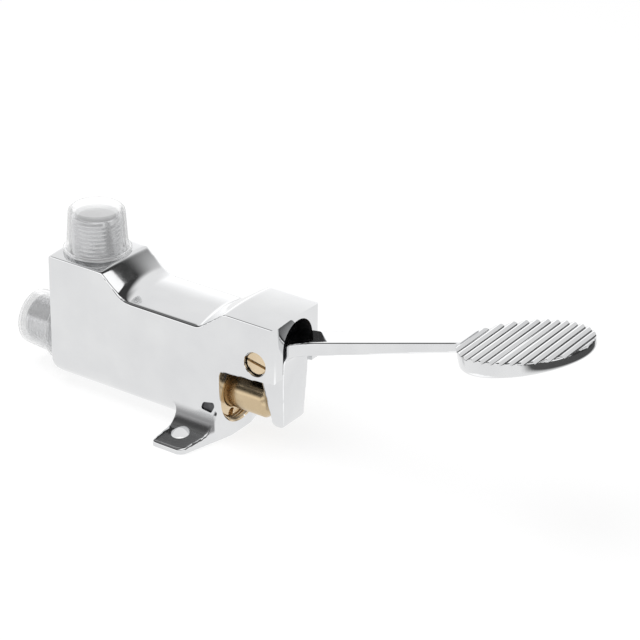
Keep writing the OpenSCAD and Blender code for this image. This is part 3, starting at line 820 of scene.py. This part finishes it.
def in_gland_hole(middle):
    """The gland nut's thread, which is cut through the plating."""
    out = math.hypot(middle.y, middle.z - valve_z)
    return GLAND_BACK_X - SPARE < middle.x < CHAMBER_X - PAST_FACE and out < GLAND_R + PAST_THREAD


def in_lever_slot(middle):
    """The slot's roof and walls that get painted shade, apart from its mouth's lip and the low end of the far
    wall.
    """
    lip = SHADE_PAINT_FAR_LIP if middle.y > 0 else SHADE_PAINT_NEAR_LIP
    if not SLOT_BACK_X - SPARE < middle.x < front_x - lip:
        return False
    if abs(middle.y) >= SLOT_W / 2 + PAST_WALL or middle.z >= SLOT_CROWN_Z + TOP_CROWN + PAST_WALL:
        return False
    return middle.y < 0 or middle.z > SHADE_PAINT_FROM_Z


def under_cheeks(middle):
    """The cheeks' undersides and the roof between them over the gland nut, which get painted shade."""
    lift = CHEEK_RISE * (middle.x - CHAMBER_X)
    if not valve_z + GLAND_R / 2 < middle.z < CHEEK_Z + lift + PAST_FACE:
        return False
    if middle.x > CHAMBER_X + SPARE:
        return True
    return middle.x > CHAMBER_X - PAST_THREAD and abs(middle.y) < GLAND_R - GLAND_ROOF_SIDE


def in_lug_pit(middle):
    """The pits in the body's sides above the lugs, which get painted shade."""
    deep = BODY_W / 2 - abs(middle.y)
    xs = [corner[0] for corner in LUG_PIT]
    zs = [corner[1] for corner in LUG_PIT]
    inside = min(xs) < middle.x < max(xs) and min(zs) < middle.z < max(zs)
    return inside and PIT_EDGE < deep < LUG_PIT_DEPTH + PAST_FACE


# Ports and caps

def nipple(end, direction, length):
    """A threaded nipple: a tube with a rounded mouth, and its helical thread."""
    place = axis_at(end, direction)
    root_r = port_r - THREAD_DEPTH
    sunk = -length - PORT_GRIP
    tube = turned([
        (sunk, WATER_R),
        (-MOUTH_CHAMFER, WATER_R),
        (-EASE_LEN, MOUTH_R - EASE),
        (0, MOUTH_R + EASE),
        (0, root_r - PORT_CHAMFER),
        (-PORT_CHAMFER, root_r),
        (sunk, root_r)], place, closed=True)
    tube = combine(tube, thread(root_r, port_r, THREAD_PITCH, sunk, -THREAD_START, place), "UNION")

    def in_bore(middle):
        outward = middle - end
        return (outward - outward.dot(direction) * direction).length < MOUTH_R

    return painted(tube, SECOND, in_bore)


def port_cap(end, direction):
    """A thin tapered cup with a rim round its mouth."""
    top = CAP_OVER
    rim = CAP_STAND - outlet_len
    rim_top = rim + CAP_RIM_T
    inner_r = CAP_END_R - CAP_WALL
    inner_top = top - CAP_WALL
    flat_r = CAP_END_R + CAP_END_STEPS[0][1]
    return turned([
        (top, 0),
        *[(top - down, CAP_END_R + out) for down, out in CAP_END_STEPS],
        (rim_top + CAP_RIM_FILLET, CAP_MOUTH_R),
        (rim_top, CAP_MOUTH_R + CAP_RIM_EDGE),
        (rim_top, CAP_RIM_R - CAP_RIM_EDGE),
        (rim_top - CAP_RIM_EDGE, CAP_RIM_R),
        (rim + CAP_RIM_EDGE, CAP_RIM_R),
        (rim, CAP_RIM_R - CAP_RIM_EDGE),
        (rim, CAP_MOUTH_R - CAP_WALL),
        (top - CAP_END_STEPS[-1][0], inner_r),
        (inner_top - CAP_INNER_STEP[0], inner_r - CAP_INNER_STEP[1]),
        (inner_top, flat_r),
        (inner_top, 0)], axis_at(end, direction))


# Lever

def pedal_plate():
    """The oval wedge of the pedal, its lower edge rounded and its underside hollow."""
    bm = bmesh.new()
    bmesh.ops.create_circle(bm, cap_ends=True, segments=TURN_STEPS, radius=1)
    bmesh.ops.scale(bm, vec=(PEDAL_LEN / 2, PEDAL_W / 2, 1), verts=bm.verts)
    grown = bmesh.ops.extrude_face_region(bm, geom=bm.faces[:])
    lower = [g for g in grown["geom"] if isinstance(g, bmesh.types.BMVert)]
    taper = (PEDAL_BACK_T - PEDAL_TOE_T) / PEDAL_LEN
    for vert in lower:
        vert.co.z = -PEDAL_BACK_T + (vert.co.x + PEDAL_LEN / 2) * taper
    bmesh.ops.recalc_face_normals(bm, faces=bm.faces)
    rim = [e for e in bm.edges if all(v in lower for v in e.verts)]
    bmesh.ops.bevel(bm, geom=rim, offset=PEDAL_EDGE_R, offset_type="OFFSET", segments=PEDAL_EDGE_STEPS,
                    profile=BEVEL_ROUND, affect="EDGES", material=-1)
    hollow = bmesh.new()
    bmesh.ops.create_cone(hollow, cap_ends=True, segments=TURN_STEPS, radius1=1, radius2=1,
                          depth=PEDAL_BACK_T)
    inner = (PEDAL_LEN / 2 - PEDAL_WALL, PEDAL_W / 2 - PEDAL_WALL, 1)
    bmesh.ops.scale(hollow, vec=inner, verts=hollow.verts)
    bmesh.ops.translate(hollow, vec=(0, 0, -PEDAL_BACK_T / 2 - RIB_H - PEDAL_SKIN), verts=hollow.verts)
    return combine(bm, hollow, "DIFFERENCE")


def tread_comb():
    """The cutter that leaves the saw-tooth ribs on the tread; the bar runs out on the first of them."""
    pitch = PEDAL_LEN / RIB_COUNT
    start = -PEDAL_LEN / 2
    teeth = []
    for i in range(RIB_COUNT):
        teeth.append((start + i * pitch, -RIB_H, 0))
        teeth.append((start + (i + RIB_CREST) * pitch, -RIB_SKIM, 0))
        teeth.append((start + (i + RIB_DROP) * pitch, -RIB_SKIM, 0))
    teeth += [(-start, -RIB_H, 0), (-start + SPARE, COMB_H, 0), (start - SPARE, COMB_H, 0)]
    comb = prism(teeth, "Y", -PEDAL_W, PEDAL_W)
    first_crest = start + RIB_CREST * pitch
    bar_end = prism([
        (start - 2 * SPARE, -2 * RIB_H, 0),
        (first_crest, -2 * RIB_H, 0),
        (first_crest, COMB_H + SPARE, 0),
        (start - 2 * SPARE, COMB_H + SPARE, 0)], "Y", -LEVER_W / 2, LEVER_W / 2)
    return combine(comb, bar_end, "DIFFERENCE")


def bar_and_arm():
    """The L of the lever, cut from its side view, its front view and its plan."""
    rise = math.tan(BAR_SLOPE)
    lean = math.tan(ARM_LEAN)
    top_x = -BAR_OFFSET * math.sin(BAR_SLOPE)
    top_z = BAR_OFFSET * math.cos(BAR_SLOPE)
    end_x = PEDAL_MIDDLE.x - PEDAL_LEN / 2 * math.cos(PEDAL_SLOPE) + PEDAL_WALL
    end_z = top_z + (end_x - top_x) * rise
    face_x = -ARM_OFFSET / math.cos(ARM_LEAN)
    shoulder = HUB_R / 2
    side_view = prism([
        (top_x, top_z, 0),
        (end_x, end_z, 0),
        (end_x, end_z - BAR_END_T, 0),
        (ARM_FRONT, top_z + (ARM_FRONT - top_x) * rise - BAR_ROOT_T, ARM_FILLET),
        (ARM_FRONT - ARM_DRAFT, -ARM_LEN, ARM_END_R),
        (face_x + ARM_LEN * lean, -ARM_LEN, ARM_END_R),
        (face_x + shoulder * lean, -shoulder, 0)], "Y", -HUB_W / 2, HUB_W / 2)
    front_view = prism([
        (-ARM_LOW_W / 2, -ARM_LEN - SPARE, 0),
        (ARM_LOW_W / 2, -ARM_LEN - SPARE, 0),
        (ROOT_W / 2, -HUB_R, ARM_SHOULDER_R),
        (ROOT_W / 2, end_z + SPARE, 0),
        (-ROOT_W / 2, end_z + SPARE, 0),
        (-ROOT_W / 2, -HUB_R, ARM_SHOULDER_R)], "X", -2 * HUB_R, end_x + SPARE)
    plan = prism([
        (-2 * HUB_R, -ROOT_W / 2, 0),
        (ARM_FRONT, -ROOT_W / 2, ROOT_FLARE_R),
        (ARM_FRONT + ROOT_FLARE, -LEVER_W / 2, ROOT_FLARE_R),
        (end_x + SPARE, -LEVER_W / 2, 0),
        (end_x + SPARE, LEVER_W / 2, 0),
        (ARM_FRONT + ROOT_FLARE, LEVER_W / 2, ROOT_FLARE_R),
        (ARM_FRONT, ROOT_W / 2, ROOT_FLARE_R),
        (-2 * HUB_R, ROOT_W / 2, 0)], "Z", -ARM_LEN - SPARE, end_z + SPARE)
    return combine(combine(side_view, front_view, "INTERSECT"), plan, "INTERSECT")


def hub_pin(radius, half_len):
    """A plain cylinder on the pivot's axis."""
    return turned([(-half_len, 0), (-half_len, radius), (half_len, radius), (half_len, 0)],
                  axis_at((0, 0, 0), FAR))


def lever_casting():
    """Bar, hub, arm and pedal in one casting, softened with its bar level; its tread is cut crisp."""
    tilt = Matrix.Translation(PEDAL_MIDDLE) @ Matrix.Rotation(-PEDAL_SLOPE, 4, "Y")
    plate = pedal_plate()
    plate.transform(tilt)
    comb = tread_comb()
    comb.transform(tilt)
    lever = combine(combine(bar_and_arm(), hub_pin(HUB_R, HUB_W / 2), "UNION"), plate, "UNION")
    level = Matrix.Rotation(BAR_SLOPE, 4, "Y")
    lever.transform(level)
    lever = soften(lever, LEVER_VOXEL, LEVER_ROUNDS)
    lever.transform(level.inverted())
    lever = combine(combine(lever, comb, "DIFFERENCE"), hub_pin(PIVOT_HOLE_R, HUB_W), "DIFFERENCE")
    bmesh.ops.translate(lever, vec=pivot, verts=lever.verts)
    return lever


# Turned brass

def plunger_rod():
    """The rod that the lever's arm pushes, chamfered at its end."""
    tip_r = PLUNGER_R - PLUNGER_CHAMFER
    length = plunger_high.x - plunger_low.x
    return turned([
        (-length, 0),
        (-length, PLUNGER_R - EDGE_BREAK),
        (-length + EDGE_BREAK, PLUNGER_R),
        (-PLUNGER_CHAMFER - EASE_LEN, PLUNGER_R),
        (-PLUNGER_CHAMFER + EASE, PLUNGER_R - EASE),
        (-EASE, tip_r + EASE),
        (0, tip_r - EASE_LEN),
        (0, 0)], on_valve_axis(plunger_high.x))


def gland_ring():
    """The ring that the plunger runs through, with two holes for a pin spanner."""
    length = gland_high.x - gland_low.x
    ring = turned([
        (-length, GLAND_BORE_R),
        (-EDGE_BREAK, GLAND_BORE_R),
        (0, GLAND_BORE_R + EDGE_BREAK),
        (0, GLAND_NUT_R - 2 * EDGE_BREAK),
        (-2 * EDGE_BREAK, GLAND_NUT_R),
        (-length, GLAND_NUT_R)], on_valve_axis(gland_high.x), closed=True)
    reach = (GLAND_BORE_R + GLAND_R) / 2
    for angle in (SPANNER_HOLE_ANGLE, SPANNER_HOLE_ANGLE + math.pi):
        middle = (gland_high.x, reach * math.cos(angle), valve_z + reach * math.sin(angle))
        hole = drill(SPANNER_HOLE_DEPTH, SPANNER_HOLE_R, axis_at(middle, FRONT), EDGE_BREAK)
        ring = combine(ring, hole, "DIFFERENCE")
    return ring


def slotted_screw():
    """The screw that the lever swings on, with a driver's slot in its head."""
    length = screw_high.y - screw_low.y
    shank = SLOT_W / 2 - screw_low.y
    head = Vector((pivot.x, screw_low.y, pivot.z))
    screw = turned([
        (0, 0),
        (0, SCREW_HEAD_R - EDGE_BREAK),
        (EDGE_BREAK, SCREW_HEAD_R),
        (SCREW_HEAD_T, SCREW_HEAD_R),
        (SCREW_HEAD_T, SCREW_R),
        (shank, SCREW_R),
        (shank, PIVOT_THREAD_R),
        (length, PIVOT_THREAD_R),
        (length, 0)], axis_at(head, FAR))
    half = DRIVER_SLOT_W / 2
    across = SCREW_HEAD_R + SPARE
    slot = prism([
        (-across, -half, 0),
        (across, -half, 0),
        (across, half, 0),
        (-across, half, 0)], "Y", -SPARE, DRIVER_SLOT_DEPTH)
    slot.transform(Matrix.Translation(head) @ Matrix.Rotation(DRIVER_SLOT_ANGLE, 4, "Y"))
    return combine(screw, slot, "DIFFERENCE")


# Spring

def pressed_spring(material):
    """The return spring as the imported coil stands, its back end on the core."""
    coil = frame["nodes"]["return_spring"]
    bm = bmesh.new()
    bm.from_mesh(coil.data)
    bm.transform(coil.matrix_world)
    bmesh.ops.remove_doubles(bm, verts=bm.verts, dist=COIL_WELD_M)
    spring = finished("coil_spring", bm, [material])
    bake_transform(spring)
    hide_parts("return_spring")


# Pieces

chrome = chrome_plate()
threads = thread_chrome()
shade_paint = painted_shade_cast()
bare = bare_zinc()
brass_x = turned_brass("turned_brass_x", "X")
brass_y = turned_brass("turned_brass_y", "Y")
brass_rod = turned_brass("turned_brass_rod", "X", ROD_BRASS, ROD_ROUGH)
rubber = seal_rubber()
steel = drawn_steel()
plastic = milky_plastic()

outlet_tube = nipple(outlet_end, UP, outlet_len)
inlet_tube = nipple(inlet_end, BACK, inlet_len)
piece("body_casting", cast_body(), [chrome, brass_x, shade_paint], "housing", "valve_body")
piece("outlet_tube", outlet_tube, [threads, bare], "housing", "outlet_nipple")
piece("inlet_tube", inlet_tube, [threads, bare], "housing", "inlet_nipple")
piece("lever_casting", lever_casting(), [chrome], "lever", "pedal_lever")
piece("slotted_screw", slotted_screw(), [brass_y], "housing", "pivot_screw")
piece("gland_ring", gland_ring(), [brass_x], "housing", "gland_nut")
piece("plunger_rod", plunger_rod(), [brass_rod], "push_rod", "plunger")
piece("outlet_cover", port_cap(outlet_end, UP), [plastic], "outlet_cover", "outlet_cap")
piece("inlet_cover", port_cap(inlet_end, BACK), [plastic], "inlet_cover", "inlet_cap")
pressed_spring(steel)

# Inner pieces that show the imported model's own shapes
INNER = {
    "valve_core": brass_x, "disc_cup": brass_x, "disc_nut": brass_x, "core_gasket": rubber,
    "core_o_ring": rubber, "plunger_o_rings": rubber, "seal_disc": rubber, "valve_stem": steel}
for name, material in INNER.items():
    inner = frame["nodes"][name]
    inner.data.materials.clear()
    inner.data.materials.append(material)


# Stage, in metres; a pair is where a smooth step starts and ends, or its values on both sides

# Table: its own light, its shade towards the pedal in reflections, and a paler strip in front of the arm
TABLE_SIZE = 4.0
TABLE_DARK = (0.29, 0.29, 0.29)
TABLE_LIGHT = (0.31, 0.31, 0.31)
TABLE_GLOW = 0.77
TABLE_SHADE = (0.16, 0.25)
TABLE_MIRRORED = (1.0, 0.09)
STRIP_BACK = (0.054, 0.064)
STRIP_FRONT = (0.095, 0.125)
STRIP_NEAR = (-0.055, -0.050)
STRIP_FAR = (-0.006, -0.001)
STRIP_LIGHT = 0.3

# Soft light overhead, brighter to the right
OVERHEAD_EDGE = (0.63, 0.67)
OVERHEAD_SIDE = (-0.3, 0.2)
OVERHEAD_LIGHT = (0.2, 1.3)
OVERHEAD_AWAY = (-0.05, 0.1)

# White card high on the far side
CARD_DIRECTION = (1.0, 0.0, -0.78)
CARD_SIDE = (-0.214, -0.206)
CARD_FROM = (0.2, 0.3)
CARD_TO = (0.64, 0.70)
CARD_FLOOR = (0.56, 0.60)
CARD_LIGHT = 1.3

# Light wall at the back
WALL_DIRECTION = (-0.56, 0.78, 0.28)
WALL_EDGE = (0.54, 0.80)
WALL_FADE = (0.1, 0.5)
WALL_LIGHT = (1.4, 1.0)

# Screen on the far right
SCREEN_SIDE = (0.32, 0.38)
SCREEN_FROM = (0.3, 0.6)
SCREEN_FLOOR = (0.20, 0.32)
SCREEN_TOP = (0.56, 0.60)
SCREEN_LIGHT = 0.88

# Low light on the near side
HORIZON = (-0.05, 0.05)
FRONT_FROM = (-0.3, 0.0)
FRONT_TOP = (0.18, 0.42)
FRONT_LIGHT = 1.4

# Rest of the room in reflections, and the light on dull surfaces
ROOM_DARK = 0.05
AMBIENT = 0.6

# Lamp that gives the floor its shadow
LAMP_PLACE = Vector((-0.15, -0.25, 0.9))
LAMP_TARGET = Vector((0.03, 0, 0.03))
LAMP_SIZE = 0.7
LAMP_POWER = 3.5


def white_table():
    """A pale table top that shows white to the camera and in reflections, and keeps the shadow."""
    bm = bmesh.new()
    bmesh.ops.create_grid(bm, x_segments=1, y_segments=1, size=TABLE_SIZE / 2)
    table = as_object(bm, "table")
    material, tree, shader = new_material("table_white")
    coloured(tree, shader, scale=3, dark=TABLE_DARK, light=TABLE_LIGHT)
    shader.inputs["Roughness"].default_value = 0.9
    shader.inputs["Specular IOR Level"].default_value = 0.0
    shader.inputs["Emission Color"].default_value = (1, 1, 1, 1)
    shader.inputs["Emission Strength"].default_value = TABLE_GLOW
    x, y, _ = axes(tree, "ShaderNodeTexCoord", "Object")
    shade = stepped(tree, x, *TABLE_SHADE, *TABLE_MIRRORED)
    strip = worked(tree, "MULTIPLY", stepped(tree, x, *STRIP_BACK), stepped(tree, x, *STRIP_FRONT, 1.0, 0.0),
                   stepped(tree, y, *STRIP_NEAR), stepped(tree, y, *STRIP_FAR, STRIP_LIGHT, 0.0))
    mirrored = tree.nodes.new("ShaderNodeEmission")
    tree.links.new(worked(tree, "ADD", shade, strip), mirrored.inputs["Strength"])
    path = tree.nodes.new("ShaderNodeLightPath")
    mix = tree.nodes.new("ShaderNodeMixShader")
    tree.links.new(path.outputs["Is Glossy Ray"], mix.inputs["Fac"])
    tree.links.new(shader.outputs["BSDF"], mix.inputs[1])
    tree.links.new(mirrored.outputs["Emission"], mix.inputs[2])
    tree.links.new(mix.outputs["Shader"], tree.nodes["Material Output"].inputs["Surface"])
    table.data.materials.append(material)


def along(tree, direction):
    """How much of each direction in the world lies along one direction."""
    place = tree.nodes.new("ShaderNodeTexCoord")
    share = tree.nodes.new("ShaderNodeVectorMath")
    share.operation = "DOT_PRODUCT"
    share.inputs[1].default_value = direction
    tree.links.new(place.outputs["Generated"], share.inputs[0])
    return share.outputs["Value"]


def studio_world():
    """White to the camera; in reflections a dark room with lights overhead, behind and on both sides."""
    world = bpy.data.worlds.new("studio")
    bpy.context.scene.world = world
    world.use_nodes = True
    tree = world.node_tree
    right, away, height = axes(tree, "ShaderNodeTexCoord", "Generated")
    overhead = worked(tree, "MULTIPLY", stepped(tree, height, *OVERHEAD_EDGE),
                      stepped(tree, right, *OVERHEAD_SIDE, *OVERHEAD_LIGHT),
                      stepped(tree, away, *OVERHEAD_AWAY, 1.0, 0.0))
    card = worked(tree, "MULTIPLY", stepped(tree, along(tree, CARD_DIRECTION), *CARD_SIDE),
                  stepped(tree, away, *CARD_FROM), stepped(tree, away, *CARD_TO, 1.0, 0.0),
                  stepped(tree, height, *CARD_FLOOR, 0.0, CARD_LIGHT))
    wall = worked(tree, "MULTIPLY", stepped(tree, along(tree, WALL_DIRECTION), *WALL_EDGE),
                  stepped(tree, height, *WALL_FADE, *WALL_LIGHT))
    screen = worked(tree, "MULTIPLY", stepped(tree, right, *SCREEN_SIDE), stepped(tree, away, *SCREEN_FROM),
                    stepped(tree, height, *SCREEN_FLOOR),
                    stepped(tree, height, *SCREEN_TOP, SCREEN_LIGHT, 0.0))
    front = worked(tree, "MULTIPLY", stepped(tree, height, *HORIZON),
                   stepped(tree, away, *FRONT_FROM, 1.0, 0.0),
                   stepped(tree, height, *FRONT_TOP, FRONT_LIGHT, 0.0))
    room = worked(tree, "MAXIMUM", overhead, card, wall, screen, front, ROOM_DARK)
    path = tree.nodes.new("ShaderNodeLightPath")
    mirrored = chosen(tree, path.outputs["Is Glossy Ray"], AMBIENT, room)
    seen = worked(tree, "MAXIMUM", path.outputs["Is Camera Ray"], path.outputs["Is Transmission Ray"])
    background = tree.nodes["Background"]
    background.inputs["Color"].default_value = (1, 1, 1, 1)
    tree.links.new(chosen(tree, seen, mirrored, 1.0), background.inputs["Strength"])


def soft_lamp():
    """A wide lamp overhead that doesn't show in reflections."""
    data = bpy.data.lights.new("overhead", "AREA")
    data.shape = "DISK"
    data.size = LAMP_SIZE
    data.energy = LAMP_POWER
    lamp = bpy.data.objects.new("overhead", data)
    bpy.context.scene.collection.objects.link(lamp)
    lamp.location = LAMP_PLACE
    lamp.rotation_euler = (LAMP_TARGET - LAMP_PLACE).to_track_quat("-Z", "Y").to_euler()
    lamp.visible_glossy = False


white_table()
studio_world()
soft_lamp()


# Camera at the photograph's viewpoint

CAMERA_AZIMUTH = math.radians(34.16)
CAMERA_ELEVATION = math.radians(26.99)
CAMERA_ROLL = math.radians(0.84)
CAMERA_DISTANCE = 1.0
CAMERA_LENS = 145.86
CAMERA_SENSOR = 36.0
CAMERA_TARGET = Vector((0.0513, 0, 0.06065))


def photo_camera():
    """A camera round the part at the fitted angles, looking at the fitted target."""
    data = bpy.data.cameras.new("camera")
    data.lens = CAMERA_LENS
    data.sensor_width = CAMERA_SENSOR
    camera = bpy.data.objects.new("camera", data)
    bpy.context.scene.collection.objects.link(camera)
    level = math.cos(CAMERA_ELEVATION)
    back = Vector((math.sin(CAMERA_AZIMUTH) * level, -math.cos(CAMERA_AZIMUTH) * level,
                   math.sin(CAMERA_ELEVATION)))
    right = Vector((math.cos(CAMERA_AZIMUTH), math.sin(CAMERA_AZIMUTH), 0))
    right = Matrix.Rotation(CAMERA_ROLL, 3, back) @ right
    up = back.cross(right)
    turn = Matrix((right, up, back)).transposed().to_4x4()
    camera.matrix_world = Matrix.Translation(CAMERA_TARGET + back * CAMERA_DISTANCE) @ turn
    bpy.context.scene.camera = camera


photo_camera()
bpy.context.scene.view_settings.view_transform = "Standard"
